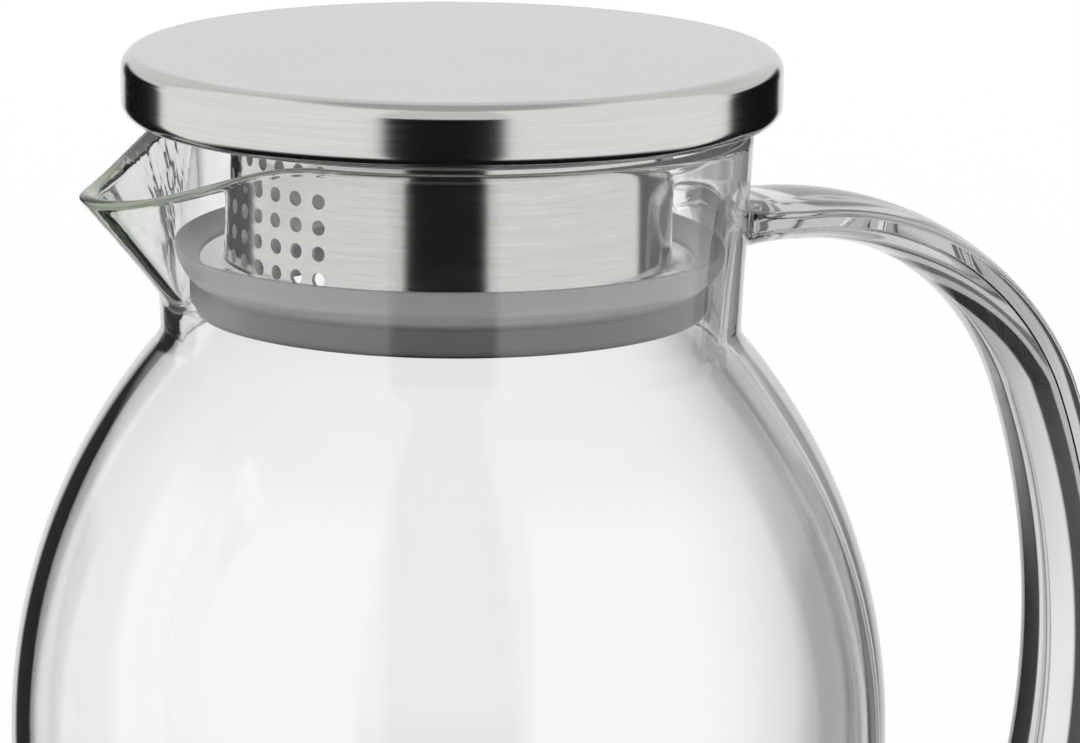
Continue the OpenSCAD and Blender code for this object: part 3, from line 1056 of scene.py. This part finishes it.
def rodLight(way, mirrored):
    # brightness along a direction for light that has passed one thickness of solid glass
    x, y, z = way.parts()
    side, front, turn = fromCamera(x, y)
    up = x * upWay.x + y * upWay.y + z * upWay.z
    left, right = (turn.band(*map(softEdge, rod[box])) for box in ("leftBox", "rightBox"))
    left = left * (rod["leftLow"] + up.step(*rod["leftUp"]) * (1 - rod["leftLow"]))
    boxes = left.highest(right) * studio["softbox"]

    gap = up.band(*rod["gapUp"]) * side.step(*rod["gapSide"])
    wall = side.step(*rod["patchSide"]) * up.step(*rod["patchUp"]) * (1 - gap * rod["gap"])
    wall = wall * (rod["patch"] + up.step(*rod["crownUp"]) * rod["crown"])
    for strip in rod["strips"]:
        wall = wall.highest(side.band(*strip["side"]) * strip["light"])
    line = side.band(*rod["lineSide"]) * rod["line"]
    wall = wall.highest(mirrored * side.band(*rod["glowSide"]) * (1 - line) * rod["glow"])

    behind = (front * -1).step(*rod["wallBack"])
    offSide, offUp = side - rod["aheadSide"], up - rod["aheadUp"]
    off = x.maths("SQRT", offSide * offSide + offUp * offUp)
    ahead = (1 - off.step(*rod["aheadEdge"])) * behind * rod["ahead"]
    lit = boxes.highest(wall * behind * rod["wall"]).highest(ahead)
    return rod["shade"] + lit * (1 - rod["shade"])


def makeWorld():
    world = bpy.data.worlds.new("studio")
    bpy.context.scene.world = world
    world.use_nodes = True
    tree = world.node_tree
    way = Wire.node(tree, "ShaderNodeTexCoord", out="Generated")
    seen, through, bounces, passes = Wire.lightPath(
        tree, "Is Camera Ray", "Is Transmission Ray", "Glossy Depth", "Transmission Depth")
    mirrored = bounces.step(*firstOn)
    single = 1 - passes.step(*thirdOn)
    solid = through * single
    inRod = passes.step(*firstOn) * single
    tent = tentLight(way, inRod) * (1 - inRod) + rodLight(way, mirrored) * inRod
    plain = seen.highest(through * (1 - mirrored) * (1 - solid))
    tented = mirrored.highest(solid) * (1 - seen)

    # a grey flag at the photograph's right shades what shows through both walls
    sideways = {0: way, 1: rightWay}
    across = Wire.node(tree, "ShaderNodeVectorMath", {"operation": "DOT_PRODUCT"}, sideways, "Value")
    flag = across.band(studio["flagFrom"], studio["flagTo"]) * (1 - seen) * studio["flag"]
    level = plain * (1 - flag) + tented * tent + (1 - plain.highest(tented)) * studio["fill"]
    Wire.feed(tree.nodes["Background"], {"Strength": level, "Color": (1, 1, 1, 1)})
    world.cycles.sampling_method = "NONE"


def makeFloor():
    bm = bmesh.new()
    bmesh.ops.create_circle(bm, cap_ends=True, segments=studio["floorSides"], radius=studio["floorRadius"])
    bmesh.ops.translate(bm, verts=bm.verts, vec=(0, 0, -studio["floorDrop"]))
    material, tree, coords = newMaterial("paleFloor")
    tree.nodes.remove(tree.nodes["Principled BSDF"])
    far = Wire.node(tree, "ShaderNodeVectorMath", {"operation": "LENGTH"}, {0: coords}, "Value")
    seen, through, bounces = Wire.lightPath(tree, "Is Camera Ray", "Is Transmission Ray", "Glossy Depth")
    matt = Wire.node(tree, "ShaderNodeBsdfDiffuse", {}, {"Color": studio["floorColour"]})
    glow = Wire.node(tree, "ShaderNodeEmission", {}, {"Strength": seen * studio["floorLift"]})
    near = Wire.node(tree, "ShaderNodeAddShader", {}, {0: matt, 1: glow})
    clear = Wire.node(tree, "ShaderNodeBsdfTransparent")
    fade = far.step(*(share * studio["floorRadius"] for share in studio["floorFade"]))
    fade = fade.highest(bounces.step(*firstOn)).highest(through)
    mixed = Wire.node(tree, "ShaderNodeMixShader", {}, {0: fade, 1: near, 2: clear})
    Wire.feed(tree.nodes["Material Output"], {"Surface": mixed})
    floor = toObject("floor", bm, material)


makeWorld()
makeFloor()
print("studio lit")
